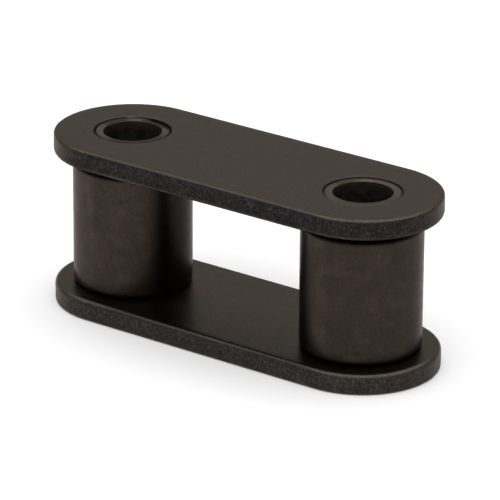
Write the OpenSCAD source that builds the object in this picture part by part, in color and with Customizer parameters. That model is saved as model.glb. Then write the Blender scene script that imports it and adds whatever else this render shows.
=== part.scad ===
// Roller link of a steel roller chain: two stamped link plates, two bushings
// pressed into them, and two rollers that turn freely on the bushings.
// +X runs along the chain, +Z along the bushing axes, and the origin is midway
// between the axes and midway between the plates.

/* [Link] */
// Pitch: the distance between the two bushing axes
pitch = 41.4; // [34:0.1:60]
// Clear width between the inner faces of the two plates
inner_width = 20.3; // [14:0.1:30]

/* [Link plates] */
// Height across the straight sides, which is also the diameter of the round ends
plate_height = 23.4; // [20:0.1:28]
// Thickness of the plate stock
plate_thickness = 3.15; // [2:0.05:5]
// Radius of the edges round the inner face, where the blanking die rolled them over
plate_inner_edge_radius = 0.75; // [0.2:0.05:1]
// Radius of the edges round the outer face, where the blank broke away and was tumbled
plate_outer_edge_radius = 0.45; // [0.1:0.05:0.8]
// Edge break at the mouths of the bushing holes
hole_edge_break = 0.1; // [0.05:0.05:0.5]

/* [Bushings] */
// Bore that takes the pin of the neighbouring link
pin_bore = 8.6; // [6:0.05:9.5]
// Wall between the pin bore and the outside of the bushing
bushing_wall = 1.45; // [1.2:0.05:2.2]
// Length of the lead chamfer on each end, along the axis
bushing_lead_length = 0.55; // [0.2:0.05:1.2]
// Depth of the lead chamfer on each end, across the wall
bushing_lead_depth = 0.4; // [0.1:0.05:0.5]
// Radius at the mouths of the pin bore
bore_mouth_radius = 0.25; // [0.1:0.05:0.6]
// How far each bushing end lies below the outer face of its plate
bushing_recess = 0.05; // [0:0.05:0.5]

/* [Rollers] */
// Outside diameter that seats in the sprocket
roller_diameter = 17.78; // [16.5:0.02:22]
// Total side play of a roller between the plates
roller_side_play = 1.4; // [0.4:0.05:3]
// Side play that is left under a roller, which has settled towards the lower plate
roller_seat_gap = 0.1; // [0.05:0.05:0.2]
// Radial running clearance between a roller and its bushing
roller_clearance = 0.08; // [0.02:0.01:0.2]
// Radius on the outer edges of a roller
roller_edge_radius = 0.6; // [0.2:0.05:0.9]
// Chamfer at the mouths of a roller's bore
roller_bore_chamfer = 0.4; // [0.1:0.05:0.6]

/* [Hidden] */
$fn = 96;
// Overshoot of a cutting tool past the face that it cuts
cut_margin = 1;

bushing_outer_diameter = pin_bore + 2 * bushing_wall;
overall_width = inner_width + 2 * plate_thickness;
bushing_length = overall_width - 2 * bushing_recess;

roller_bore = bushing_outer_diameter + 2 * roller_clearance;
roller_width = inner_width - roller_side_play;
roller_centre_z = (roller_width - inner_width) / 2 + roller_seat_gap;

plate_centre_z = (inner_width + plate_thickness) / 2;
axis_x = pitch / 2;

plate_colour = [0.28, 0.26, 0.235];
bushing_colour = [0.31, 0.285, 0.26];
roller_colour = [0.225, 0.195, 0.17];

// Rectangle about the origin, with one radius on its two lower corners and one on its two upper ones
module rounded_rectangle(size, lower_radius, upper_radius) {
    half = size / 2;
    translate([-half.x, lower_radius - half.y])
        square([size.x, size.y - lower_radius - upper_radius]);
    for (edge = [[-1, lower_radius], [1, upper_radius]]) {
        side = edge[0];
        radius = edge[1];
        translate([0, side * (half.y - radius / 2)])
            square([size.x - 2 * radius, radius], center = true);
        for (sx = [-1, 1])
            translate([sx * (half.x - radius), side * (half.y - radius)])
                circle(r = radius);
    }
}

// Section of a plate across its straight sides, with its outer face up
module plate_section() {
    rounded_rectangle([plate_height, plate_thickness], plate_inner_edge_radius, plate_outer_edge_radius);
}

// Straight middle of a plate, from one bushing axis to the other
module plate_waist() {
    rotate([90, 0, 90])
        linear_extrude(height = pitch, center = true)
            plate_section();
}

// Round end of a plate: its section, turned half a circle about the +X bushing axis
module plate_end() {
    translate([axis_x, 0, 0])
        rotate([0, 0, -90])
            rotate_extrude(angle = 180)
                intersection() {
                    plate_section();
                    translate([0, -plate_thickness])
                        square([plate_height, 2 * plate_thickness]);
                }
}

// Hole that a bushing is pressed into, with its edges broken on both faces
module bushing_hole() {
    hole_r = bushing_outer_diameter / 2;
    tool_h = plate_thickness + 2 * cut_margin;
    cylinder(r = hole_r, h = tool_h, center = true);
    for (side = [0, 1])
        mirror([0, 0, side])
            translate([0, 0, plate_thickness / 2 - hole_edge_break])
                cylinder(r1 = hole_r, r2 = hole_r + hole_edge_break + cut_margin,
                         h = hole_edge_break + cut_margin);
}

// One stamped link plate, lying about the origin with its outer face up
module link_plate() {
    difference() {
        union() {
            plate_waist();
            plate_end();
            mirror([1, 0, 0]) plate_end();
        }
        for (sx = [-1, 1])
            translate([sx * axis_x, 0, 0])
                bushing_hole();
    }
}

// One bushing on the Z axis: lead chamfers outside, rounded mouths inside
module bushing() {
    bore_r = pin_bore / 2;
    outer_r = bushing_outer_diameter / 2;
    lead_r = outer_r - bushing_lead_depth;
    end_z = bushing_length / 2;
    lead_z = end_z - bushing_lead_length;
    mouth_r = bore_r + bore_mouth_radius;
    mouth_z = end_z - bore_mouth_radius;
    rotate_extrude() {
        // Wall outside the rounded mouths
        polygon([
            [mouth_r, -end_z], [lead_r, -end_z], [outer_r, -lead_z],
            [outer_r, lead_z], [lead_r, end_z], [mouth_r, end_z]
        ]);
        // Wall beside the bore, and the rounding at each mouth
        translate([bore_r, -mouth_z])
            square([bore_mouth_radius, 2 * mouth_z]);
        for (side = [-1, 1])
            translate([mouth_r, side * mouth_z])
                intersection() {
                    circle(r = bore_mouth_radius);
                    translate([-bore_mouth_radius, -bore_mouth_radius])
                        square([bore_mouth_radius, 2 * bore_mouth_radius]);
                }
    }
}

// One roller on the Z axis: rounded outer edges, chamfered bore
module roller() {
    bore_r = roller_bore / 2;
    outer_r = roller_diameter / 2;
    half_w = roller_width / 2;
    rotate_extrude()
        difference() {
            intersection() {
                rounded_rectangle([roller_diameter, roller_width], roller_edge_radius, roller_edge_radius);
                translate([bore_r, -roller_width])
                    square([outer_r, 2 * roller_width]);
            }
            for (side = [-1, 1])
                translate([bore_r, side * half_w])
                    rotate(45)
                        square(roller_bore_chamfer * sqrt(2), center = true);
        }
}

module upper_link_plate() {
    color(plate_colour)
        translate([0, 0, plate_centre_z])
            link_plate();
}

module lower_link_plate() {
    color(plate_colour)
        mirror([0, 0, 1])
            translate([0, 0, plate_centre_z])
                link_plate();
}

module left_bushing() {
    color(bushing_colour)
        translate([-axis_x, 0, 0])
            bushing();
}

module right_bushing() {
    color(bushing_colour)
        translate([axis_x, 0, 0])
            bushing();
}

module left_roller() {
    color(roller_colour)
        translate([-axis_x, 0, roller_centre_z])
            roller();
}

module right_roller() {
    color(roller_colour)
        translate([axis_x, 0, roller_centre_z])
            roller();
}

upper_link_plate();
lower_link_plate();
left_bushing();
right_bushing();
left_roller();
right_roller();
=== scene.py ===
"""Dresses the roller link: stamped plates, pressed bushings and loose rollers of oxidised steel."""

import logging
import math
from dataclasses import dataclass, field, replace
from enum import Enum

import bmesh
import bpy
from bmesh.types import BMEdge, BMesh, BMVert
from mathutils import Matrix, Vector, noise


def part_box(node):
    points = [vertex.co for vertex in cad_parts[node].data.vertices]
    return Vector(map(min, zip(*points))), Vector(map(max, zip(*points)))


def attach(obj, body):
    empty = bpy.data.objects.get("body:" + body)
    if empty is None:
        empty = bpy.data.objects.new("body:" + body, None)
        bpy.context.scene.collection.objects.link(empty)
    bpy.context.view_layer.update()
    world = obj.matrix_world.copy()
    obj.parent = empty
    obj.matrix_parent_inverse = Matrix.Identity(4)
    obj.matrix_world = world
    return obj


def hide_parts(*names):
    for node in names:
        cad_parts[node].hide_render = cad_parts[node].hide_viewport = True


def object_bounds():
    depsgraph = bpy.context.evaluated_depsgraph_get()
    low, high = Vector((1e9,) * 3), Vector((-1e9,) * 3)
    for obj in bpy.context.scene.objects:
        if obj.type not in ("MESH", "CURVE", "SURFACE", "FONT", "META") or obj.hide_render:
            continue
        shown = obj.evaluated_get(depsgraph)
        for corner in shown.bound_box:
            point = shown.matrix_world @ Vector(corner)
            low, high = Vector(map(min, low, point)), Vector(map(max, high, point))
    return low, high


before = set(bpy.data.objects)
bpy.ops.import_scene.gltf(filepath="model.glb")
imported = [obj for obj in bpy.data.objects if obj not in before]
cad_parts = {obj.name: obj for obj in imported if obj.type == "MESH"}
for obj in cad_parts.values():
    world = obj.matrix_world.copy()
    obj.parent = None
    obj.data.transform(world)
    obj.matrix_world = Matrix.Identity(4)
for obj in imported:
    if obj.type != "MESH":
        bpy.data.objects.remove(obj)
CAD_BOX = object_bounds()
LOG = logging.getLogger("roller_link")

Colour = tuple[float, float, float, float]
Span = tuple[float, float]
Triple = tuple[float, float, float]
Socket = bpy.types.NodeSocket
Value = Socket | Colour | float

SAME_PLACE = 1e-7
WELD_DISTANCE = 1e-6
MM_PER_M = 1000.0
UP = Vector((0.0, 0.0, 1.0))


class Body(Enum):
    """Bodies of the link that a piece can ride on."""

    LINK = "link_frame"
    LEFT_ROLLER = "left_roller_body"
    RIGHT_ROLLER = "right_roller_body"


class Slot(Enum):
    """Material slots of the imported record."""

    PLATE = "plate_steel"
    BUSHING = "bushing_steel"
    ROLLER = "roller_steel"


class Outside(Enum):
    """The way that a plate's outer face looks."""

    UP = 1
    DOWN = -1


class Mark(Enum):
    """Point attributes that tell a finish where it lies on a piece."""

    RIM = "rim"
    SHEAR = "shear"
    # Tint; on the rollers and on the plates' inner rims at the ends it carries painted light and
    # shade
    TINT = "tint"
    # Soil, which on the bushing ends is painted shade
    SOIL_AND_SHADE = "soil"
    # Nicks, with a painted glint on them
    NICK_GLINT = "nick_glint"
    BORE = "bore"
    RADIUS = "radius"


def clamp(value: float, low: float = 0.0, high: float = 1.0) -> float:
    """Returns the value, held between low and high."""
    return max(low, min(high, value))


def smoothstep(start: float, end: float, value: float) -> float:
    """Rises smoothly from 0 at start to 1 at end.

    Args:
        start: Value at which the step begins.
        end: Value at which it is complete; it may lie below start.
        value: Value to look up.

    Returns:
        The height of the step, from 0 to 1.
    """
    share = clamp((value - start) / (end - start))
    return share * share * (3.0 - 2.0 * share)


def grey(level: float) -> Colour:
    """Returns an opaque neutral colour."""
    return (level, level, level, 1.0)


@dataclass
class Graph:
    """A node tree while it is put together."""

    tree: bpy.types.NodeTree

    def add(self, kind: str, inputs: dict | None = None, **settings: object) -> bpy.types.Node:
        """Adds a node.

        Args:
            kind: Blender's name of the node.
            inputs: Values or sockets for its inputs, by name or index.
            **settings: Properties of the node.

        Returns:
            The new node.
        """
        node = self.tree.nodes.new(kind)
        for name, value in settings.items():
            setattr(node, name, value)
        for key, value in (inputs or {}).items():
            if isinstance(value, Socket):
                self.tree.links.new(value, node.inputs[key])
            else:
                node.inputs[key].default_value = value
        return node

    def blend(self, factor: Value, first: Value, second: Value, mode: str = "MIX") -> Socket:
        """Mixes two colours.

        Args:
            factor: Share of the second colour.
            first: First colour.
            second: Second colour.
            mode: How the second colour is laid on the first.

        Returns:
            The mixed colour.
        """
        # The Mix node's sockets share their names, so they go by index
        inputs = {0: factor, 6: first, 7: second}
        return self.add("ShaderNodeMix", inputs, data_type="RGBA", blend_type=mode).outputs[2]

    def between(self, factor: Value, first: Value, second: Value) -> Socket:
        """Mixes two values and returns the result."""
        inputs = {0: factor, 2: first, 3: second}
        return self.add("ShaderNodeMix", inputs, data_type="FLOAT").outputs[0]

    def math(self, operation: str, first: Value, second: Value, third: Value = 0.0) -> Socket:
        """Adds a Math node and returns its value."""
        inputs = {0: first, 1: second, 2: third}
        return self.add("ShaderNodeMath", inputs, operation=operation).outputs[0]

    def ramp(self, value: Value, span: Span, result: Span = (0.0, 1.0)) -> Socket:
        """Maps a span of values onto another one, smoothly and held at its ends.

        Args:
            value: Value to map.
            span: Values at the two ends; the second may lie below the first.
            result: What they are mapped to.

        Returns:
            The mapped value.
        """
        inputs = {0: value, 1: span[0], 2: span[1], 3: result[0], 4: result[1]}
        return self.add("ShaderNodeMapRange", inputs, interpolation_type="SMOOTHSTEP").outputs[0]

    def noise(
        self, vector: Socket, scale: Value, detail: float = 3.0, roughness: float = 0.6,
    ) -> Socket:
        """Adds a noise texture and returns its value."""
        inputs = {"Vector": vector, "Scale": scale, "Detail": detail, "Roughness": roughness}
        return self.add("ShaderNodeTexNoise", inputs).outputs[0]

    def mapped(
        self, vector: Socket, shift: Triple = (0.0, 0.0, 0.0), stretch: Triple = (1.0, 1.0, 1.0),
    ) -> Socket:
        """Moves and stretches coordinates through a Mapping node."""
        inputs = {"Vector": vector, "Location": shift, "Scale": stretch}
        return self.add("ShaderNodeMapping", inputs).outputs[0]

    def mark(self, mark: Mark) -> Socket:
        """Reads a point attribute of the piece."""
        return self.add("ShaderNodeAttribute", attribute_name=mark.value).outputs["Fac"]


@dataclass
class Effect:
    """A shader node group under construction, with its named sockets."""

    name: str
    inputs: dict[str, str]
    outputs: dict[str, str]
    graph: Graph = field(init=False)
    source: bpy.types.Node = field(init=False)
    result: bpy.types.Node = field(init=False)

    def __post_init__(self) -> None:
        """Makes the group's tree and its sockets."""
        tree = bpy.data.node_groups.new(self.name, "ShaderNodeTree")
        for direction, sockets in (("INPUT", self.inputs), ("OUTPUT", self.outputs)):
            for name, kind in sockets.items():
                tree.interface.new_socket(
                    name=name, in_out=direction, socket_type=f"NodeSocket{kind}",
                )
        self.graph = Graph(tree)
        self.source = self.graph.add("NodeGroupInput")
        self.result = self.graph.add("NodeGroupOutput")

    def read(self, name: str) -> Socket:
        """Returns the group's input of that name."""
        return self.source.outputs[name]

    def write(self, name: str, socket: Socket) -> None:
        """Links a socket to the group's output of that name."""
        self.graph.tree.links.new(socket, self.result.inputs[name])

    def place(self, graph: Graph, inputs: dict[str, Value]) -> bpy.types.Node:
        """Places the finished group in a material.

        Args:
            graph: Node tree of the material.
            inputs: Values or sockets for the group's inputs.

        Returns:
            The group node.
        """
        return graph.add("ShaderNodeGroup", inputs, node_tree=self.graph.tree)


@dataclass
class Effects:
    """The effects that the steel finishes share, each a node group that is built once."""

    warm_span: Span = (0.45, 0.7)
    cool_span: Span = (0.48, 0.7)
    cool_shift: Triple = (0.31, 0.17, 0.23)
    coarse_share: float = 0.28
    coarse_shift: Triple = (0.7, 0.4, 0.1)
    fleck_span: Span = (0.36, 0.64)
    rim_span: Span = (0.35, 0.95)
    wear_span: Span = (0.35, 0.65)
    wear_range: Span = (0.1, 1.0)
    torn_scale: float = 3300.0
    torn_stretch: Triple = (1.0, 1.0, 0.8)
    cloud_scale: float = 520.0
    cloud_shift: Triple = (0.2, 0.5, 0.3)
    cloud_share: float = 0.3
    light_span: Span = (0.63, 0.86)
    pit_span: Span = (0.62, 0.46)
    line_span: Span = (0.4, 0.65)
    bloom: Effect = field(init=False)
    grain: Effect = field(init=False)
    wear: Effect = field(init=False)
    torn: Effect = field(init=False)
    turned: Effect = field(init=False)

    def __post_init__(self) -> None:
        """Builds the node groups."""
        self.bloom = self._bloom()
        self.grain = self._grain()
        self.wear = self._wear()
        self.torn = self._torn()
        self.turned = self._turned()

    def _bloom(self) -> Effect:
        """Heat tint: broad patches of warm and cool oxide over the plain colour.

        Returns:
            The finished node group.
        """
        inputs = {
            "Vector": "Vector", "Scale": "Float", "Base": "Color", "Warm": "Color",
            "Cool": "Color", "Amount": "Float",
        }
        effect = Effect("oxide_bloom", inputs, {"Color": "Color", "Patch": "Float"})
        graph = effect.graph
        vector, scale, amount = (effect.read(name) for name in ("Vector", "Scale", "Amount"))
        elsewhere = graph.mapped(vector, self.cool_shift)
        warm_patch = graph.noise(vector, scale, detail=4.0, roughness=0.68)
        cool_patch = graph.noise(elsewhere, scale, detail=5.0, roughness=0.7)
        warm = graph.math("MULTIPLY", graph.ramp(warm_patch, self.warm_span), amount)
        cool = graph.math("MULTIPLY", graph.ramp(cool_patch, self.cool_span), amount)
        colour = graph.blend(warm, effect.read("Base"), effect.read("Warm"))
        effect.write("Color", graph.blend(cool, colour, effect.read("Cool")))
        effect.write("Patch", warm_patch)
        return effect

    def _grain(self) -> Effect:
        """Fine tooth of the oxide: a height for the bump, and flecks of light and dark.

        Returns:
            The finished node group.
        """
        inputs = {"Vector": "Vector", "Scale": "Float"}
        effect = Effect("oxide_grain", inputs, {"Height": "Float", "Fleck": "Float"})
        graph = effect.graph
        vector, scale = effect.read("Vector"), effect.read("Scale")
        elsewhere = graph.mapped(vector, self.coarse_shift)
        coarse_scale = graph.math("MULTIPLY", scale, self.coarse_share)
        fine = graph.noise(vector, scale)
        coarse = graph.noise(elsewhere, coarse_scale, roughness=0.55)
        effect.write("Height", graph.math("ADD", fine, coarse))
        effect.write("Fleck", graph.ramp(fine, self.fleck_span))
        return effect

    def _wear(self) -> Effect:
        """Bright wear on rounded rims, broken up so that it doesn't run as an even line.

        Returns:
            The finished node group.
        """
        inputs = {"Vector": "Vector", "Rim": "Float", "Scale": "Float", "Amount": "Float"}
        effect = Effect("rim_wear", inputs, {"Wear": "Float"})
        graph = effect.graph
        patches = graph.noise(effect.read("Vector"), effect.read("Scale"))
        broken = graph.ramp(patches, self.wear_span, self.wear_range)
        worn = graph.math("MULTIPLY", graph.ramp(effect.read("Rim"), self.rim_span), broken)
        effect.write("Wear", graph.math("MULTIPLY", worn, effect.read("Amount")))
        return effect

    def _torn(self) -> Effect:
        """Sheared metal: a warm to cool grey, with light grains and dark pits.

        Returns:
            The finished node group.
        """
        inputs = {
            "Vector": "Vector", "Tint": "Float", "Warm": "Color", "Cool": "Color",
            "Light": "Color", "Dark": "Color",
        }
        effect = Effect("torn_wall", inputs, {"Color": "Color", "Height": "Float"})
        graph = effect.graph
        vector = effect.read("Vector")
        stretched = graph.mapped(vector, stretch=self.torn_stretch)
        grains = graph.noise(stretched, self.torn_scale, roughness=0.7)
        clouds = graph.noise(graph.mapped(vector, self.cloud_shift), self.cloud_scale)
        level = graph.math("ADD", grains, graph.math("MULTIPLY", clouds, self.cloud_share))
        colour = graph.blend(effect.read("Tint"), effect.read("Warm"), effect.read("Cool"))
        colour = graph.blend(graph.ramp(level, self.light_span), colour, effect.read("Light"))
        pits = graph.ramp(level, self.pit_span)
        effect.write("Color", graph.blend(pits, colour, effect.read("Dark")))
        effect.write("Height", grains)
        return effect

    def _turned(self) -> Effect:
        """Turned metal: fine rings about the axis, as a height and as lighter lines.

        Returns:
            The finished node group.
        """
        inputs = {"Radius": "Float", "Scale": "Float"}
        effect = Effect("turned_rings", inputs, {"Height": "Float", "Line": "Float"})
        graph = effect.graph
        settings = {
            "W": effect.read("Radius"), "Scale": effect.read("Scale"),
            "Detail": 3.0, "Roughness": 0.7,
        }
        rings = graph.add("ShaderNodeTexNoise", settings, noise_dimensions="1D").outputs[0]
        effect.write("Height", rings)
        effect.write("Line", graph.ramp(rings, self.line_span))
        return effect


@dataclass
class Skin:
    """A material in the making: its nodes, and its colour, roughness and bump height so far."""

    effects: Effects
    graph: Graph
    vector: Socket
    colour: Socket
    rough: Socket
    height: Socket


@dataclass(frozen=True, kw_only=True)
class OxideFinish:
    """Heat-treated steel under a thin dark oxide."""

    name: str
    base: Colour
    warm: Colour
    cool: Colour
    worn: Colour
    soil: Colour
    soil_roughness: float
    edge_tint: Colour
    bloom_scale: float
    bloom_amount: float
    grain_scale: float
    grain_depth: float
    fleck: float
    roughness: float
    roughness_spread: float
    patch_span: Span = (0.35, 0.65)
    wear_amount: float
    wear_scale: float = 1900.0

    def material(self, effects: Effects) -> bpy.types.Material:
        """Builds the finish as a material.

        Args:
            effects: Node groups that the finishes share.

        Returns:
            The material.
        """
        material = bpy.data.materials.new(self.name)
        material.use_nodes = True
        graph = Graph(material.node_tree)
        skin = self._oxide(effects, graph)
        self.local_marks(skin)
        self._wear_and_soil(skin)
        bump = graph.add("ShaderNodeBump", {
            "Strength": 1.0, "Distance": self.grain_depth, "Height": skin.height,
        })
        shader = material.node_tree.nodes["Principled BSDF"]
        shader.inputs["Metallic"].default_value = 1.0
        shader.inputs["Specular Tint"].default_value = self.edge_tint
        for name, socket in (
            ("Base Color", skin.colour), ("Roughness", skin.rough), ("Normal", bump.outputs[0]),
        ):
            graph.tree.links.new(socket, shader.inputs[name])
        return material

    def _oxide(self, effects: Effects, graph: Graph) -> Skin:
        """Lays the oxide, with its heat tint and its tooth.

        Args:
            effects: Node groups that the finishes share.
            graph: Node tree of the material.

        Returns:
            The plain oxide skin.
        """
        vector = graph.add("ShaderNodeTexCoord").outputs["Object"]
        bloom = effects.bloom.place(graph, {
            "Vector": vector, "Scale": self.bloom_scale, "Base": self.base, "Warm": self.warm,
            "Cool": self.cool, "Amount": self.bloom_amount,
        }).outputs
        grain = effects.grain.place(graph, {"Vector": vector, "Scale": self.grain_scale}).outputs
        colour = graph.blend(self.fleck, bloom["Color"], grain["Fleck"], "SOFT_LIGHT")
        dull = self.roughness + self.roughness_spread
        glossy = self.roughness - self.roughness_spread
        rough = graph.ramp(bloom["Patch"], self.patch_span, (dull, glossy))
        return Skin(effects, graph, vector, colour, rough, grain["Height"])

    def local_marks(self, skin: Skin) -> None:
        """Adds the marks that only this finish has; a plain one has none."""

    def _wear_and_soil(self, skin: Skin) -> None:
        """Wears the rims bright, with painted highlights where a bushing's arcs raise the wear,
        then lays the soil over all, which on the bushing ends is painted shade.

        Args:
            skin: Marked skin to wear and soil.
        """
        graph = skin.graph
        wear = skin.effects.wear.place(graph, {
            "Vector": skin.vector, "Rim": graph.mark(Mark.RIM), "Scale": self.wear_scale,
            "Amount": self.wear_amount,
        })
        # Soil, and on the bushing ends painted shade in the soil colour
        soiled = graph.mark(Mark.SOIL_AND_SHADE)
        worn = graph.blend(wear.outputs["Wear"], skin.colour, self.worn)
        skin.colour = graph.blend(soiled, worn, self.soil)
        skin.rough = graph.between(soiled, skin.rough, self.soil_roughness)


@dataclass(frozen=True, kw_only=True)
class StampedFinish(OxideFinish):
    """Oxidised plate stock with darker, torn walls where the die sheared it."""

    shear_warm: Colour
    shear_cool: Colour
    shear_light: Colour
    shear_dark: Colour
    shear_roughness: float
    shear_span: Span = (0.36, 0.84)
    shear_ragged: float = 0.7
    # Painted shade: a darker, cooler colour for the rims along the straight flanks, which dims
    # their highlight
    flank_rim_shade: Colour
    flank_span: Span = (0.02, 0.2)
    # Painted shade: a dark colour for the inner rims at the ends, where the tint mark is below zero
    painted_shade_rim: Colour
    painted_shade_span: Span = (0.0, -0.6)
    # Painted highlight: a bright colour laid on the nicks, as their glint
    nick_glint: Colour

    def local_marks(self, skin: Skin) -> None:
        """Adds the painted shade on the rims along the flanks and on the inner rims at the ends,
        the sheared walls with their grains and pits, and the nicks with their painted glint.

        Args:
            skin: Oxide skin to mark.
        """
        graph = skin.graph
        tint, lean = graph.mark(Mark.TINT), graph.mark(Mark.SHEAR)
        # Painted shade: the rims along the flanks take their darker colour
        flank_shade = graph.math("MULTIPLY", tint, graph.ramp(lean, self.flank_span))
        # Painted shade: where the tint mark is below zero the rim is darkened and dulled
        dark = graph.ramp(tint, self.painted_shade_span)
        colour = graph.blend(flank_shade, skin.colour, self.flank_rim_shade)
        colour = graph.blend(dark, colour, self.painted_shade_rim)
        rough = graph.between(dark, skin.rough, self.soil_roughness)
        wall = skin.effects.torn.place(graph, {
            "Vector": skin.vector, "Tint": tint, "Warm": self.shear_warm,
            "Cool": self.shear_cool, "Light": self.shear_light, "Dark": self.shear_dark,
        }).outputs
        ragged = graph.math(
            "MULTIPLY_ADD", wall["Height"], self.shear_ragged, -self.shear_ragged / 2,
        )
        shear = graph.ramp(graph.math("ADD", lean, ragged), self.shear_span)
        colour = graph.blend(shear, colour, wall["Color"])
        # Painted highlight: the nicks take the bright colour, as a glint
        skin.colour = graph.blend(graph.mark(Mark.NICK_GLINT), colour, self.nick_glint)
        skin.rough = graph.between(shear, rough, self.shear_roughness)
        relief = graph.math("MULTIPLY", shear, wall["Height"])
        skin.height = graph.math("ADD", skin.height, relief)


@dataclass(frozen=True, kw_only=True)
class SleeveFinish(OxideFinish):
    """Oxidised sleeve with turned ends and a dull, patchy bore."""

    bore: Colour
    bore_dark: Colour
    bore_roughness: float
    bore_patch_scale: float = 620.0
    bore_patch_span: Span = (0.42, 0.6)
    rust: Colour
    ring_light: Colour
    ring_scale: float = 9.0
    ring_share: float = 0.5

    def local_marks(self, skin: Skin) -> None:
        """Adds the turned rings, the dull bore and the rust.

        Args:
            skin: Oxide skin to mark.
        """
        graph = skin.graph
        bore = graph.mark(Mark.BORE)
        turned = skin.effects.turned.place(graph, {
            "Radius": graph.mark(Mark.RADIUS), "Scale": self.ring_scale,
        }).outputs
        lines = graph.math("MULTIPLY", turned["Line"], self.ring_share)
        ringed = graph.blend(lines, skin.colour, self.ring_light)
        patches = graph.noise(skin.vector, self.bore_patch_scale)
        lining = graph.blend(
            graph.ramp(patches, self.bore_patch_span), self.bore, self.bore_dark,
        )
        colour = graph.blend(bore, ringed, lining)
        skin.colour = graph.blend(graph.mark(Mark.TINT), colour, self.rust)
        skin.rough = graph.between(bore, skin.rough, self.bore_roughness)
        skin.height = graph.math("ADD", skin.height, turned["Height"])


@dataclass(frozen=True, kw_only=True)
class RollerFinish(OxideFinish):
    """Oxidised roller, painted lighter on one side of its wall and darker on another, as painted
    light and shade.
    """

    painted_light_side: Colour
    painted_shade_side: Colour

    def local_marks(self, skin: Skin) -> None:
        """Adds the painted light and shade, as factors on the colour.

        Args:
            skin: Oxide skin to mark.
        """
        graph = skin.graph
        tint = graph.mark(Mark.TINT)
        for full_tint, factor in ((1.0, self.painted_light_side), (-1.0, self.painted_shade_side)):
            share = graph.ramp(tint, (0.0, full_tint))
            skin.colour = graph.blend(share, skin.colour, factor, "MULTIPLY")


def rise(edge: BMEdge) -> float:
    """Returns the height between the two ends of an edge."""
    return abs(edge.verts[0].co.z - edge.verts[1].co.z)


def at_height(vert: BMVert, z: float) -> bool:
    """Tells whether a vertex lies at a height."""
    return abs(vert.co.z - z) < SAME_PLACE


def rim_value(vert: BMVert) -> float:
    """Returns 1 where a surface leans halfway between face and wall, and 0 on both."""
    return 2.0 * abs(vert.normal.z) * math.hypot(vert.normal.x, vert.normal.y)


def rim_edges(bm: BMesh, least_angle: float = 1.0) -> list[BMEdge]:
    """Returns the edges at which two faces meet at more than least_angle radians."""
    return [edge for edge in bm.edges if edge.is_manifold and edge.calc_face_angle() > least_angle]


def round_edges(bm: BMesh, edges: list[BMEdge], radius: float, facets: int) -> None:
    """Rounds edges, or breaks them where there is one facet.

    Args:
        bm: Mesh to change.
        edges: Edges to round.
        radius: Radius of the rounding, or leg of the break.
        facets: Number of facets across it.
    """
    bmesh.ops.bevel(
        bm, geom=edges, offset=radius, offset_type="OFFSET", segments=facets,
        profile=0.5, affect="EDGES", material=-1,
    )


def edge_chain(bm: BMesh, points: list[Triple], closed: bool) -> list:
    """Draws a chain of edges that a spin can sweep.

    Args:
        bm: Mesh to draw in.
        points: Corner points.
        closed: Whether the last point joins the first.

    Returns:
        The new vertices and edges.
    """
    verts = [bm.verts.new(point) for point in points]
    ends = verts[1:] + verts[:1] if closed else verts[1:]
    return verts + [bm.edges.new(pair) for pair in zip(verts, ends)]


def cut_rows(bm: BMesh, edges: list[BMEdge], rows: int) -> None:
    """Cuts a band of quads into rows across the given edges."""
    bmesh.ops.subdivide_edges(bm, edges=edges, cuts=rows - 1, use_grid_fill=True)


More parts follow.
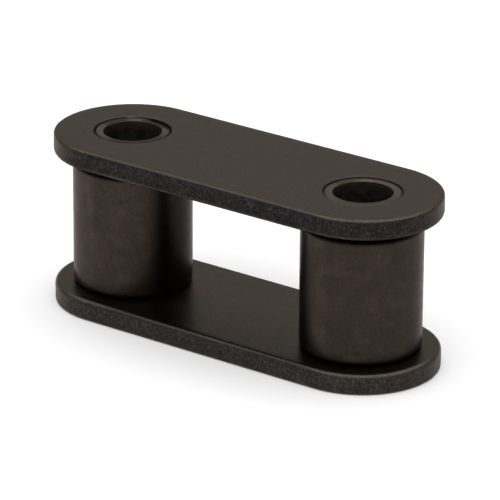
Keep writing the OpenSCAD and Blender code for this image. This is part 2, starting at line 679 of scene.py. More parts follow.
@dataclass
class Piece:
    """A finished part of the link that stands for one solid of the frame."""

    node: str
    body: Body
    slot: Slot
    seed: float
    bm: BMesh = field(init=False, repr=False)
    low: Vector = field(init=False)
    high: Vector = field(init=False)

    def __post_init__(self) -> None:
        """Reads the place and the size of the solid."""
        self.low, self.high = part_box(self.node)
        self.bm = bmesh.new()

    @property
    def centre(self) -> Vector:
        """Middle of the solid's box."""
        return (self.low + self.high) / 2

    @property
    def size(self) -> Vector:
        """Lengths of the solid's box."""
        return self.high - self.low

    def shape(self) -> None:
        """Models the piece in its bmesh."""
        raise NotImplementedError

    def marks(self, vert: BMVert) -> dict[Mark, float]:
        """Gives the point attributes of a vertex before it is roughened.

        Args:
            vert: Vertex of the piece.

        Returns:
            The values that aren't zero.
        """
        raise NotImplementedError

    def depth(self, vert: BMVert, values: dict[Mark, float]) -> float:
        """Gives how far a vertex lies under the true surface.

        Args:
            vert: Vertex of the piece.
            values: Its point attributes.

        Returns:
            The depth in metres.
        """
        raise NotImplementedError

    def noise(self, point: Vector, scale: Triple | float) -> float:
        """Reads smooth noise at a point.

        Args:
            point: Place on the piece.
            scale: Cycles per metre, along each axis or in all.

        Returns:
            A value from -1 to 1.
        """
        scales = scale if isinstance(scale, tuple) else (scale, scale, scale)
        stretched = Vector([along * cycles for along, cycles in zip(point, scales)])
        return noise.noise(stretched + Vector((self.seed, -self.seed, 0.5 * self.seed)))

    def build(self, material: bpy.types.Material) -> bpy.types.Object:
        """Models the piece, dresses it and puts it on its body.

        Args:
            material: Finish of the piece.

        Returns:
            The finished object.
        """
        self.shape()
        self._mark_and_roughen()
        mesh = bpy.data.meshes.new(f"{self.node}_dressed")
        self.bm.to_mesh(mesh)
        self.bm.free()
        mesh.shade_smooth()
        mesh.materials.append(material)
        piece = bpy.data.objects.new(f"{self.node}_dressed", mesh)
        bpy.context.scene.collection.objects.link(piece)
        weighted = piece.modifiers.new("flat faces", "WEIGHTED_NORMAL")
        weighted.keep_sharp = True
        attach(piece, self.body.value)
        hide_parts(self.node)
        triangles = sum(len(face.vertices) - 2 for face in mesh.polygons)
        LOG.info("%s: %d vertices, %d triangles", piece.name, len(mesh.vertices), triangles)
        return piece

    def _mark_and_roughen(self) -> None:
        """Writes the point attributes, then sinks each vertex by its depth."""
        bm = self.bm
        bmesh.ops.recalc_face_normals(bm, faces=bm.faces)
        bm.normal_update()
        layers = {mark: bm.verts.layers.float.new(mark.value) for mark in Mark}
        moves = []
        for vert in bm.verts:
            values = self.marks(vert)
            for mark, value in values.items():
                vert[layers[mark]] = value
            moves.append((vert, vert.normal * self.depth(vert, values)))
        for vert, move in moves:
            vert.co -= move


@dataclass(frozen=True)
class Arc:
    """A marked stretch of a round rim: its bearing and half angle in degrees, and its strength."""

    bearing: float
    half_angle: float
    strength: float = 1.0
    full_share: float = 0.4

    def at(self, bearing: float) -> float:
        """Gives the strength of the mark at a bearing.

        Args:
            bearing: Angle about the axis, in radians.

        Returns:
            The strength, which is 0 outside the arc.
        """
        away = abs(math.remainder(bearing - math.radians(self.bearing), math.tau))
        half_angle = math.radians(self.half_angle)
        return self.strength * smoothstep(half_angle, self.full_share * half_angle, away)


Arcs = tuple[Arc, ...]


def strongest(arcs: Arcs, bearing: float) -> float:
    """Returns the strongest of some arcs at a bearing, or 0 where there is none."""
    return max((arc.at(bearing) for arc in arcs), default=0.0)


@dataclass
class LinkPlate(Piece):
    """A stamped plate with round ends, rolled inner edges, torn walls and two holes."""

    outside: Outside
    flank_tint: float
    inner_edge_radius: float = 0.00075
    inner_edge_facets: int = 6
    outer_edge_radius: float = 0.00045
    outer_edge_facets: int = 4
    hole_radius: float = 0.00575
    hole_break: float = 0.0001
    mouth_band: float = 0.0004
    flat_band: float = 0.0015
    straight_steps: int = 400
    end_steps: int = 360
    wall_rows: int = 20
    hole_steps: int = 144
    groove_soil: float = 0.9
    mouth_soil: float = 0.36
    nick_depth: float = 0.0003
    # Nicks in the left hole's mouth, which also carry a painted glint
    left_nick_glints: Arcs = ()
    left_bare: Arcs = ()
    # Arcs of painted shade on the inner rims, by bearing about the plate's middle
    painted_shade_rims: Arcs = ()
    flank_fade: Span = (0.0006, -0.0008)
    patch_scale: float = 300.0
    patch_middle: float = 0.8
    patch_spread: float = 0.5
    tint_over_wear: float = 0.7
    wall_lean: Span = (0.4, 0.85)
    burnished_share: float = 0.25
    burnished_grain: float = 0.35
    burnish_wander: float = 0.12
    burnish_scale: Triple = (500.0, 500.0, 0.0)
    burnish_fade: Span = (-0.06, 0.1)
    grain_depth: float = 0.00009
    grain_octaves: tuple[Span, ...] = ((0.6, 2700.0), (0.4, 5200.0))
    streak_depth: float = 0.00001
    streak_scale: Triple = (2400.0, 2400.0, 400.0)

    @property
    def half_pitch(self) -> float:
        """Distance from the middle to a bushing axis."""
        return (self.size.x - self.size.y) / 2

    @property
    def inner_z(self) -> float:
        """Height of the face towards the rollers."""
        return self.low.z if self.outside is Outside.UP else self.high.z

    @property
    def outer_z(self) -> float:
        """Height of the face away from the rollers."""
        return self.high.z if self.outside is Outside.UP else self.low.z

    def shape(self) -> None:
        """Sweeps the wall round the outline, lines the holes and fills the faces."""
        bm = self.bm
        for x in (-self.half_pitch, self.half_pitch):
            self._line_hole(x)
        self._sweep_wall()
        for radius, facets, z in (
            (self.inner_edge_radius, self.inner_edge_facets, self.inner_z),
            (self.outer_edge_radius, self.outer_edge_facets, self.outer_z),
        ):
            rims = [edge for edge in rim_edges(bm) if at_height(edge.verts[0], z)]
            round_edges(bm, rims, radius, facets)
        inside = self.size.y / 2 - self.flat_band
        upright = [
            edge for edge in bm.edges
            if rise(edge) > self.size.z / 2 and self._from_axis(edge.verts[0].co) > inside
        ]
        cut_rows(bm, upright, self.wall_rows)
        for z in (self.inner_z, self.outer_z):
            borders = [
                edge for edge in bm.edges
                if edge.is_boundary and all(at_height(vert, z) for vert in edge.verts)
            ]
            bmesh.ops.triangle_fill(bm, use_beauty=True, edges=borders, normal=UP)

    def _sweep_wall(self) -> None:
        """Sweeps the wall and a band of each face round the plate's outline."""
        bm, start = self.bm, -self.half_pitch
        half_height = self.size.y / 2
        inside = half_height - self.flat_band
        section = edge_chain(bm, [
            (start, -inside, self.inner_z), (start, -half_height, self.inner_z),
            (start, -half_height, self.outer_z), (start, -inside, self.outer_z),
        ], closed=False)
        for side in (1, -1):
            along = (side * 2 * self.half_pitch, 0, 0)
            section = bmesh.ops.spin(
                bm, geom=section, cent=(0, 0, 0), axis=UP, dvec=along, angle=0.0, steps=1,
            )["geom_last"]
            section = bmesh.ops.spin(
                bm, geom=section, cent=(side * self.half_pitch, 0, 0), axis=UP,
                angle=math.pi, steps=self.end_steps,
            )["geom_last"]
        bmesh.ops.remove_doubles(bm, verts=bm.verts, dist=WELD_DISTANCE)
        straight = [edge for edge in bm.edges if edge.calc_length() > self.half_pitch]
        cut_rows(bm, straight, self.straight_steps)
        bmesh.ops.recalc_face_normals(bm, faces=bm.faces)

    def _line_hole(self, x: float) -> None:
        """Lines the hole on a bushing axis, with a break and a flat band at each mouth.

        Args:
            x: Place of the axis along the plate.
        """
        inward = self.outside.value * self.hole_break
        mouth = self.hole_radius + self.hole_break
        rows = (
            (mouth + self.mouth_band, self.inner_z),
            (mouth, self.inner_z),
            (self.hole_radius, self.inner_z + inward),
            (self.hole_radius, self.outer_z - inward),
            (mouth, self.outer_z),
            (mouth + self.mouth_band, self.outer_z),
        )
        points = [(x + radius, 0, z) for radius, z in rows]
        section = edge_chain(self.bm, points, closed=False)
        bmesh.ops.spin(
            self.bm, geom=section, cent=(x, 0, 0), axis=UP, angle=math.tau,
            steps=self.hole_steps, use_merge=True,
        )

    def _from_axis(self, point: Vector) -> float:
        """Returns the distance of a point from the nearer bushing axis."""
        return math.hypot(abs(point.x) - self.half_pitch, point.y)

    def _in_hole(self, point: Vector) -> bool:
        """Tells whether a point lies in a hole or on the break at its mouth."""
        return self._from_axis(point) < self.hole_radius + self.hole_break + self.mouth_band / 2

    def marks(self, vert: BMVert) -> dict[Mark, float]:
        """Marks the rims, the sheared wall and its tint, the painted shade on the inner rims at the
        ends, and the soiled holes.

        Args:
            vert: Vertex of the plate.

        Returns:
            The values of its attributes.
        """
        point = vert.co
        if self._in_hole(point):
            return self._hole_marks(point)
        on_flank = smoothstep(*self.flank_fade, abs(point.x) - self.half_pitch)
        patchy = self.patch_middle + self.patch_spread * self.noise(point, self.patch_scale)
        tint = clamp(self.flank_tint * on_flank * patchy)
        rim = rim_value(vert)
        if abs(point.z - self.inner_z) < self.inner_edge_radius:
            # Painted shade: in the arcs the inner rims get a negative tint, which the finish
            # darkens
            dark = strongest(self.painted_shade_rims, math.atan2(point.y, point.x))
            tint = tint * (1.0 - dark) - rim * dark
        # Rim wear is cut where the tint lies, which with the painted shade dims the rims along the
        # flanks and at the ends
        return {
            Mark.RIM: rim * (1.0 - self.tint_over_wear * abs(tint)),
            Mark.SHEAR: 1.0 - abs(vert.normal.z),
            Mark.TINT: tint,
        }

    def _hole_marks(self, point: Vector) -> dict[Mark, float]:
        """Marks the soil in a hole, with the nicks, their painted glint and the bare stretches of
        the left one.

        Args:
            point: Place in the hole or on its break.

        Returns:
            The values of its attributes.
        """
        in_wall = self._from_axis(point) < self.hole_radius + self.hole_break / 2
        soil = self.groove_soil if in_wall else self.mouth_soil
        if point.x > 0:
            return {Mark.SOIL_AND_SHADE: soil}
        bearing = math.atan2(point.y, point.x + self.half_pitch)
        # The nicks are sunk a little, and the finish lays a painted glint on them
        nick_glint = strongest(self.left_nick_glints, bearing)
        bare = max(nick_glint, strongest(self.left_bare, bearing))
        return {Mark.NICK_GLINT: nick_glint, Mark.SOIL_AND_SHADE: soil * (1.0 - bare)}

    def depth(self, vert: BMVert, values: dict[Mark, float]) -> float:
        """Tears the wall into grains, fainter near the inner face, and sinks the nicks.

        Args:
            vert: Vertex of the plate.
            values: Its point attributes.

        Returns:
            The depth in metres.
        """
        point = vert.co
        if self._in_hole(point):
            return self.nick_depth * values.get(Mark.NICK_GLINT, 0.0)
        wall = smoothstep(*self.wall_lean, values[Mark.SHEAR])
        if wall == 0.0:
            return 0.0
        height = abs(point.z - self.inner_z) / self.size.z
        edge = self.burnished_share + self.burnish_wander * self.noise(point, self.burnish_scale)
        torn = smoothstep(*self.burnish_fade, height - edge)
        torn = self.burnished_grain + (1.0 - self.burnished_grain) * torn
        grains = sum(share * self.noise(point, scale) for share, scale in self.grain_octaves)
        streaks = self.noise(point, self.streak_scale)
        rough = self.streak_depth * (1.0 + streaks) + torn * self.grain_depth * (1.0 + grains)
        return wall * rough / 2


@dataclass
class RoundPiece(Piece):
    """A piece that is turned about an upright axis through its middle."""

    @property
    def outer_radius(self) -> float:
        """Radius of the piece outside."""
        return self.size.x / 2

    def from_axis(self, point: Vector) -> float:
        """Returns the distance of a point from the axis."""
        return math.hypot(point.x - self.centre.x, point.y)

    def bearing(self, point: Vector) -> float:
        """Returns the bearing of a point about the axis, in radians."""
        return math.atan2(point.y, point.x - self.centre.x)

    def spin_section(self, corners: list[Span], steps: int) -> None:
        """Spins a closed section about the axis.

        Args:
            corners: Radius and height of each corner.
            steps: Number of facets round the axis.
        """
        x = self.centre.x
        points = [(x + radius, 0, z) for radius, z in corners]
        section = edge_chain(self.bm, points, closed=True)
        bmesh.ops.spin(
            self.bm, geom=section, cent=(x, 0, 0), axis=UP, angle=math.tau, steps=steps,
            use_merge=True,
        )
        bmesh.ops.recalc_face_normals(self.bm, faces=self.bm.faces)

    def upright_edges(self) -> list[BMEdge]:
        """Returns the edges that run most of the way from end to end."""
        return [edge for edge in self.bm.edges if rise(edge) > self.size.z / 2]


@dataclass
class Bushing(RoundPiece):
    """A pressed sleeve with lead chamfers outside and rounded mouths inside."""

    bore_radius: float = 0.0043
    lead_length: float = 0.00055
    lead_depth: float = 0.0004
    mouth_radius: float = 0.00025
    mouth_facets: int = 6
    edge_break: float = 0.00005
    edge_facets: int = 2
    edge_angle: float = 0.4
    steps: int = 192
    bore_rows: int = 40
    groove_soil: float = 0.9
    lead_fade: Span = (1.35, 0.75)
    lip_rust_fade: Span = (0.0013, 0.0005)
    lip_rust_scale: float = 260.0
    lip_rust_middle: float = 0.65
    lip_rust_spread: float = 0.9
    # Share of rim wear outside the arcs of painted highlight, where it rises to full
    wear_outside_highlights: float = 0.3
    painted_highlight_arcs: Arcs = ()
    rusted: Arcs = ()
    # Arcs of painted shade on the ends, laid in the soil colour
    painted_ring_shade_arcs: Arcs = ()
    chipped: Arcs = ()
    chip_depth: float = 0.0003
    chip_reach: float = 1.5

    def shape(self) -> None:
        """Spins the wall's section about the axis, then rounds its edges."""
        bm = self.bm
        low, high = self.low.z, self.high.z
        lead_radius = self.outer_radius - self.lead_depth
        self.spin_section([
            (self.bore_radius, low), (lead_radius, low),
            (self.outer_radius, low + self.lead_length),
            (self.outer_radius, high - self.lead_length),
            (lead_radius, high), (self.bore_radius, high),
        ], self.steps)
        lining = self.bore_radius + SAME_PLACE
        mouths = [edge for edge in rim_edges(bm) if self.from_axis(edge.verts[0].co) < lining]
        round_edges(bm, mouths, self.mouth_radius, self.mouth_facets)
        round_edges(bm, rim_edges(bm, self.edge_angle), self.edge_break, self.edge_facets)
        mouth = self.bore_radius + self.mouth_radius
        upright = [
            edge for edge in self.upright_edges() if self.from_axis(edge.verts[0].co) < mouth
        ]
        cut_rows(bm, upright, self.bore_rows)

    def marks(self, vert: BMVert) -> dict[Mark, float]:
        """Marks the worn mouths with their painted highlights, the soiled leads, the painted shade
        on the ends and the dull bore.

        Args:
            vert: Vertex of the sleeve.

        Returns:
            The values of its attributes.
        """
        point = vert.co
        radius, bearing = self.from_axis(point), self.bearing(point)
        inwards = (self.outer_radius - radius) / self.lead_depth
        lead = smoothstep(*self.lead_fade, inwards)
        bore = smoothstep(self.bore_radius + self.mouth_radius / 2, self.bore_radius, radius)
        from_end = min(point.z - self.low.z, self.high.z - point.z)
        patches = self.lip_rust_spread * self.noise(point, self.lip_rust_scale)
        lip_rust = smoothstep(*self.lip_rust_fade, from_end)
        lip_rust *= clamp(self.lip_rust_middle + patches)
        end_rust = strongest(self.rusted, bearing) * (1.0 - lead)
        # Painted highlight: in the arcs the rim wear rises to full, and the bright worn colour
        # gives a glint
        wear_and_highlight = self.wear_outside_highlights + (1.0 - self.wear_outside_highlights) * strongest(self.painted_highlight_arcs, bearing)
        # Painted shade: the ends are darkened in the soil colour in these arcs
        painted_ring_shade = strongest(self.painted_ring_shade_arcs, bearing) * (1.0 - bore)
        return {
            Mark.RIM: rim_value(vert) * (1.0 - lead) * wear_and_highlight,
            Mark.SOIL_AND_SHADE: max(self.groove_soil * lead, painted_ring_shade),
            Mark.BORE: bore,
            Mark.TINT: bore * lip_rust + (1.0 - bore) * end_rust,
            Mark.RADIUS: MM_PER_M * radius,
        }

    def depth(self, vert: BMVert, values: dict[Mark, float]) -> float:
        """Chips the edge between the upper end and its lead chamfer.

        Args:
            vert: Vertex of the sleeve.
            values: Its point attributes; not used.

        Returns:
            The depth in metres.
        """
        at_end = self.high.z - vert.co.z < 2 * self.edge_break
        inner_limit = self.outer_radius - self.chip_reach * self.lead_depth
        if not at_end or self.from_axis(vert.co) < inner_limit:
            return 0.0
        return self.chip_depth * strongest(self.chipped, self.bearing(vert.co))


@dataclass(frozen=True)
class Dent:
    """A shallow dent in a roller's wall: its bearing in degrees, and its height and size."""

    bearing: float
    height: float
    half_width: float
    half_height: float
    depth: float = 0.00003

    def at(self, bearing: float, height: float, radius: float) -> float:
        """Gives the share of the dent at a place on the wall.

        Args:
            bearing: Angle about the axis, in radians.
            height: Height along the axis.
            radius: Radius of the wall.

        Returns:
            A value from 0 outside the dent to 1 at its middle.
        """
        turn = math.remainder(bearing - math.radians(self.bearing), math.tau)
        aside = turn * radius / self.half_width
        above = (height - self.height) / self.half_height
        return smoothstep(1.0, 0.0, math.hypot(aside, above))


@dataclass
class Roller(RoundPiece):
    """A loose roller with rounded rims, painted light and shade round its wall, and a few dents."""

    bore_radius: float = 0.00583
    bore_break: float = 0.0004
    edge_radius: float = 0.0006
    edge_facets: int = 7
    steps: int = 288
    wall_rows: int = 90
    wave_depth: float = 0.000002
    wave_scale: Triple = (350.0, 350.0, 180.0)
    dents: tuple[Dent, ...] = ()
    dent_soil: float = 0.45
    # Arcs of painted light and painted shade round the wall, broken up by noise
    painted_light_side: Arcs = ()
    painted_shade_side: Arcs = ()
    patch_scale: float = 220.0
    patch_middle: float = 0.9
    patch_spread: float = 0.4
    rim_reach: float = 1.2

    def shape(self) -> None:
        """Spins the roller's section about its axis, then rounds and breaks its edges."""
        bm = self.bm
        low, high = self.low.z, self.high.z
        self.spin_section([
            (self.bore_radius, low), (self.outer_radius, low),
            (self.outer_radius, high), (self.bore_radius, high),
        ], self.steps)
        middle = (self.bore_radius + self.outer_radius) / 2
        rims = rim_edges(bm)
        outer = [edge for edge in rims if self.from_axis(edge.verts[0].co) > middle]
        inner = [edge for edge in rims if self.from_axis(edge.verts[0].co) < middle]
        round_edges(bm, outer, self.edge_radius, self.edge_facets)
        round_edges(bm, inner, self.bore_break, facets=1)
        wall = [
            edge for edge in self.upright_edges() if self.from_axis(edge.verts[0].co) > middle
        ]
        cut_rows(bm, wall, self.wall_rows)

    def marks(self, vert: BMVert) -> dict[Mark, float]:
        """Marks the worn rims, the soiled dents and the painted light and shade round the wall.

        Args:
            vert: Vertex of the roller.

        Returns:
            The values of its attributes.
        """
        point, bearing = vert.co, self.bearing(vert.co)
        patchy = self.patch_middle + self.patch_spread * self.noise(point, self.patch_scale)
        # Painted light and shade: the tint is positive in the light arcs and negative in the shade
        # arcs
        tint = patchy * (strongest(self.painted_light_side, bearing) - strongest(self.painted_shade_side, bearing))
        if self.from_axis(point) <= self.outer_radius - self.rim_reach * self.edge_radius:
            return {Mark.TINT: tint}
        dented = max(self._dented(point), default=0.0)
        return {
            Mark.RIM: rim_value(vert), Mark.SOIL_AND_SHADE: self.dent_soil * dented, Mark.TINT: tint,
        }

    def _dented(self, point: Vector) -> list[float]:
        """Returns the share of each dent at a point of the wall."""
        bearing = self.bearing(point)
        return [dent.at(bearing, point.z, self.outer_radius) for dent in self.dents]

    def depth(self, vert: BMVert, values: dict[Mark, float]) -> float:
        """Dents the wall and leaves it very slightly out of true.

        Args:
            vert: Vertex of the roller.
            values: Its point attributes; not used.

        Returns:
            The depth in metres.
        """
        point = vert.co
        if self.from_axis(point) < self.outer_radius - self.edge_radius:
            return 0.0
        wave = self.wave_depth * (1.0 + self.noise(point, self.wave_scale)) / 2
        shares = zip(self.dents, self._dented(point))
        return wave + sum(dent.depth * share for dent, share in shares)


@dataclass
class Studio:
    """A white floor under a round soft light, in a plain grey room."""

    room: float = 0.36
    floor: Colour = grey(0.9)
    floor_roughness: float = 0.9
    floor_lift: float = 0.1
    floor_size: float = 6.0
    floor_gap: float = 0.00002
    light_height: float = 0.8
    light_forward: Span = (0.16, -0.22)
    light_size: float = 2.4
    light_power: float = 19.0

    def build(self) -> None:
        """Makes the floor, the light and the room."""
        self._floor()
        self._light()
        self._room()
        bpy.context.scene.view_settings.view_transform = "Standard"

    def _floor(self) -> None:
        """Lays the floor just under the lower plate, so that the two faces don't meet."""
        bm = bmesh.new()
        place = Matrix.Translation((0.0, 0.0, CAD_BOX[0].z - self.floor_gap))
        bmesh.ops.create_grid(
            bm, x_segments=1, y_segments=1, size=self.floor_size / 2, matrix=place,
        )
        mesh = bpy.data.meshes.new("floor")
        bm.to_mesh(mesh)
        bm.free()
        mesh.materials.append(self._floor_paint())
        floor = bpy.data.objects.new("floor", mesh)
        bpy.context.scene.collection.objects.link(floor)

    def _floor_paint(self) -> bpy.types.Material:
        """Makes the floor's white, lifted a little where it is seen or mirrored.

        Returns:
            The material.
        """
        material = bpy.data.materials.new("floor")
        material.use_nodes = True
        graph = Graph(material.node_tree)
        shader = material.node_tree.nodes["Principled BSDF"]
        shader.inputs["Roughness"].default_value = self.floor_roughness
        shader.inputs["Emission Strength"].default_value = self.floor_lift
        shader.inputs["Base Color"].default_value = self.floor
        paths = graph.add("ShaderNodeLightPath").outputs
        mirrored = graph.math("MAXIMUM", paths["Is Glossy Ray"], paths["Is Transmission Ray"])
        seen = graph.math("MAXIMUM", paths["Is Camera Ray"], mirrored)
        graph.tree.links.new(seen, shader.inputs["Emission Color"])
        return material

    def _light(self) -> None:
        """Hangs the round soft light above the link."""
        lamp = bpy.data.lights.new("soft light", "AREA")
        lamp.shape = "DISK"
        lamp.size = self.light_size
        lamp.energy = self.light_power
        light = bpy.data.objects.new("soft light", lamp)
        light.location = (*self.light_forward, self.light_height)
        bpy.context.scene.collection.objects.link(light)

    def _room(self) -> None:
        """Makes the room round the stage an even grey."""
        world = bpy.data.worlds.new("room")
        world.use_nodes = True
        background = world.node_tree.nodes["Background"]
        background.inputs["Color"].default_value = grey(self.room)
        bpy.context.scene.world = world


@dataclass
class PhotoCamera:
    """The camera that was fitted to the outline of the link in the photograph."""

    azimuth: float = math.radians(36.214)
    elevation: float = math.radians(21.879)
    roll: float = math.radians(-0.408)
    aim_right: float = 0.000719
    aim_up: float = -0.00069
    distance: float = 0.5888
    focal_pixels: float = 4036.0
    frame_pixels: float = 500.0
    sensor: float = 36.0
    clip: Span = (0.01, 20.0)

    def build(self) -> None:
        """Makes the camera and gives it to the scene."""
        flat = math.cos(self.elevation)
        level = Vector((math.cos(self.azimuth), math.sin(self.azimuth), 0.0))
        back = Vector((level.y * flat, -level.x * flat, math.sin(self.elevation)))
        upright = back.cross(level)
        right = math.cos(self.roll) * level - math.sin(self.roll) * upright
        above = math.sin(self.roll) * level + math.cos(self.roll) * upright
        data = bpy.data.cameras.new("camera")
        data.sensor_width = self.sensor
        data.lens = self.focal_pixels * self.sensor / self.frame_pixels
        data.clip_start, data.clip_end = self.clip
        camera = bpy.data.objects.new("camera", data)
        place = Matrix((right, above, back)).transposed().to_4x4()
        place.translation = right * self.aim_right + above * self.aim_up + back * self.distance
        camera.matrix_world = place
        bpy.context.scene.collection.objects.link(camera)
        bpy.context.scene.camera = camera


PLATE_FINISH = StampedFinish(
    name="dark oxide plate",
    base=(0.062, 0.052, 0.041, 1.0),
    warm=(0.07, 0.052, 0.037, 1.0),
    cool=(0.056, 0.052, 0.046, 1.0),
    worn=(0.078, 0.073, 0.068, 1.0),
    soil=(0.05, 0.038, 0.031, 1.0),
    soil_roughness=0.75,
    edge_tint=(1.0, 0.93, 0.86, 1.0),
    bloom_scale=170.0,
    bloom_amount=0.75,
    grain_scale=5200.0,
    grain_depth=0.000014,
    fleck=0.45,
    roughness=0.33,
    roughness_spread=0.03,
    wear_amount=0.55,
    shear_warm=(0.0205, 0.0165, 0.014, 1.0),
    shear_cool=(0.0152, 0.0153, 0.0172, 1.0),
    shear_light=(0.046, 0.0405, 0.038, 1.0),
    shear_dark=(0.0095, 0.0083, 0.0078, 1.0),
    shear_roughness=0.48,
    # Painted shade on the rims along the flanks
    flank_rim_shade=(0.0465, 0.0434, 0.0377, 1.0),
    # Painted shade on the inner rims at the ends
    painted_shade_rim=(0.031, 0.028, 0.025, 1.0),
    # Painted highlight on the nicks
    nick_glint=(0.115, 0.111, 0.107, 1.0),
)
# The lower plate's copy of the finish: its sheared walls are painted lighter, as painted light, and
# the rims along its flanks darker, as painted shade
LOWER_PLATE_PAINTED_LIGHT_FINISH = replace(
    PLATE_FINISH,
    name="dark oxide lower plate",
    base=(0.057, 0.048, 0.038, 1.0),
    shear_warm=(0.036, 0.0295, 0.0268, 1.0),
    shear_cool=(0.0321, 0.0278, 0.027, 1.0),
    shear_light=(0.07, 0.0625, 0.059, 1.0),
    shear_dark=(0.0175, 0.0145, 0.0128, 1.0),
    flank_rim_shade=(0.034, 0.0315, 0.0295, 1.0),
)
BUSHING_FINISH = SleeveFinish(
    name="ground oxide bushing",
    base=(0.108, 0.096, 0.08, 1.0),
    warm=(0.12, 0.095, 0.07, 1.0),
    cool=(0.1, 0.096, 0.088, 1.0),
    # Bright, as within the arcs of painted highlight this worn colour is the highlight
    worn=(0.15, 0.138, 0.131, 1.0),
    # Also the colour of the painted shade on the bushing ends
    soil=(0.03, 0.021, 0.017, 1.0),
    soil_roughness=0.75,
    edge_tint=(1.0, 0.93, 0.86, 1.0),
    bloom_scale=260.0,
    bloom_amount=0.6,
    grain_scale=5200.0,
    grain_depth=0.000008,
    fleck=0.12,
    roughness=0.32,
    roughness_spread=0.04,
    wear_amount=0.7,
    bore=(0.051, 0.048, 0.041, 1.0),
    bore_dark=(0.032, 0.0265, 0.0225, 1.0),
    bore_roughness=0.6,
    rust=(0.075, 0.05, 0.03, 1.0),
    ring_light=(0.13, 0.114, 0.094, 1.0),
)
ROLLER_FINISH = RollerFinish(
    name="brown oxide roller",
    base=(0.0325, 0.025, 0.0198, 1.0),
    warm=(0.0425, 0.0305, 0.0234, 1.0),
    cool=(0.0275, 0.0232, 0.0213, 1.0),
    worn=(0.055, 0.045, 0.037, 1.0),
    soil=(0.012, 0.011, 0.01, 1.0),
    soil_roughness=0.6,
    edge_tint=(0.68, 0.66, 0.66, 1.0),
    bloom_scale=420.0,
    bloom_amount=1.0,
    grain_scale=4200.0,
    grain_depth=0.000004,
    fleck=0.12,
    roughness=0.33,
    roughness_spread=0.03,
    wear_amount=0.5,
    # Factors on the colour in the arcs of painted light and painted shade
    painted_light_side=(1.42, 1.44, 1.48, 1.0),
    painted_shade_side=(0.48, 0.5, 0.55, 1.0),
)

# Bearings of the two sides of a hole in the photograph, in degrees from +X
FAR_SIDE = 126.2
NEAR_SIDE = FAR_SIDE + 180.0

# Painted shade on the upper plate's inner rims at its two ends, by bearing about the link's middle
PAINTED_SHADE_RIMS = (Arc(180.0, 55.0), Arc(10.0, 40.0))
# Nicks at the far side of the left hole, with a painted glint on them
LEFT_NICK_GLINTS = (Arc(FAR_SIDE + 4.5, 9.0),)
LEFT_BARE = (Arc(FAR_SIDE - 55.0, 50.0, 0.6),)
# Arcs of painted highlight on the bushings' rims
LEFT_PAINTED_HIGHLIGHTS = (Arc(36.0, 14.0, 0.8),)
RIGHT_PAINTED_HIGHLIGHTS = (Arc(FAR_SIDE - 4.0, 28.0),)
RIGHT_RUST = (Arc(157.0, 28.0, 0.7),)
# Painted shade on the bushings' ends, darker towards the near and far sides
LEFT_PAINTED_RING_SHADE = (
    Arc(FAR_SIDE + 35.0, 42.0, 0.85),
    Arc(FAR_SIDE - 45.0, 48.0, 0.85),
    Arc(FAR_SIDE, 30.0, 0.4),
    Arc(NEAR_SIDE + 8.0, 90.0, 0.85),
)
RIGHT_PAINTED_RING_SHADE = (
    Arc(FAR_SIDE + 25.0, 45.0, 0.5),
    Arc(FAR_SIDE - 25.0, 40.0, 0.3),
    Arc(NEAR_SIDE + 5.0, 95.0, 0.6),
)
LEFT_CHIPS = (Arc(FAR_SIDE - 56.0, 40.0),)
RIGHT_CHIPS = (Arc(FAR_SIDE, 100.0, 0.15),)
# Painted light and shade round the rollers' walls
LEFT_PAINTED_LIGHT_SIDE = (Arc(-114.0, 32.0), Arc(-80.0, 38.0, 0.35))
LEFT_PAINTED_SHADE_SIDE = (Arc(2.0, 36.0),)
RIGHT_PAINTED_LIGHT_SIDE = (Arc(-104.0, 22.0, 0.45),)
LEFT_DENTS = (
    Dent(bearing=-63.0, height=0.0052, half_width=0.0008, half_height=0.0005),
    Dent(bearing=118.0, height=-0.004, half_width=0.0006, half_height=0.0009),
)
RIGHT_DENTS = (
    Dent(bearing=-58.5, height=-0.0081, half_width=0.0011, half_height=0.0006),
    Dent(bearing=-14.0, height=0.0026, half_width=0.0005, half_height=0.0005),
    Dent(bearing=140.0, height=0.003, half_width=0.0008, half_height=0.0006),
)
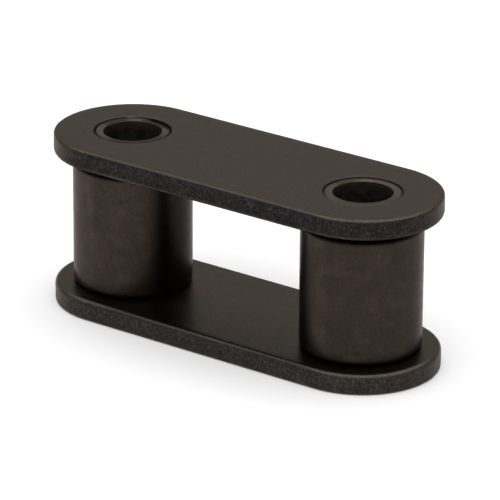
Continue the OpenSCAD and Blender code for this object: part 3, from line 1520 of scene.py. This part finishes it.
# The groove round the right bushing is part filled, so its lead shows shorter and cleaner
RIGHT_LEAD_LENGTH = 0.0003
RIGHT_GROOVE_SOIL = 0.5


def main() -> None:
    """Builds the studio, then dresses the link piece by piece."""
    logging.basicConfig(level=logging.INFO, format="%(name)s %(message)s")
    Studio().build()
    PhotoCamera().build()
    effects = Effects()
    plate = PLATE_FINISH.material(effects)
    lower_plate_painted_light = LOWER_PLATE_PAINTED_LIGHT_FINISH.material(effects)
    sleeve = BUSHING_FINISH.material(effects)
    roller = ROLLER_FINISH.material(effects)
    LinkPlate(
        "upper_link_plate", Body.LINK, Slot.PLATE, seed=1.7, outside=Outside.UP, flank_tint=1.0,
        left_nick_glints=LEFT_NICK_GLINTS, left_bare=LEFT_BARE, painted_shade_rims=PAINTED_SHADE_RIMS,
    ).build(plate)
    LinkPlate(
        "lower_link_plate", Body.LINK, Slot.PLATE, seed=6.3, outside=Outside.DOWN, flank_tint=0.9,
    ).build(lower_plate_painted_light)
    Bushing(
        "left_bushing", Body.LINK, Slot.BUSHING, seed=2.9,
        painted_highlight_arcs=LEFT_PAINTED_HIGHLIGHTS, painted_ring_shade_arcs=LEFT_PAINTED_RING_SHADE, chipped=LEFT_CHIPS,
    ).build(sleeve)
    Bushing(
        "right_bushing", Body.LINK, Slot.BUSHING, seed=8.1,
        lead_length=RIGHT_LEAD_LENGTH, groove_soil=RIGHT_GROOVE_SOIL,
        painted_highlight_arcs=RIGHT_PAINTED_HIGHLIGHTS, rusted=RIGHT_RUST, painted_ring_shade_arcs=RIGHT_PAINTED_RING_SHADE, chipped=RIGHT_CHIPS,
    ).build(sleeve)
    Roller(
        "left_roller", Body.LEFT_ROLLER, Slot.ROLLER, seed=3.3,
        dents=LEFT_DENTS, painted_light_side=LEFT_PAINTED_LIGHT_SIDE, painted_shade_side=LEFT_PAINTED_SHADE_SIDE,
    ).build(roller)
    Roller(
        "right_roller", Body.RIGHT_ROLLER, Slot.ROLLER, seed=5.9,
        dents=RIGHT_DENTS, painted_light_side=RIGHT_PAINTED_LIGHT_SIDE,
    ).build(roller)


if __name__ == "__main__":
    main()
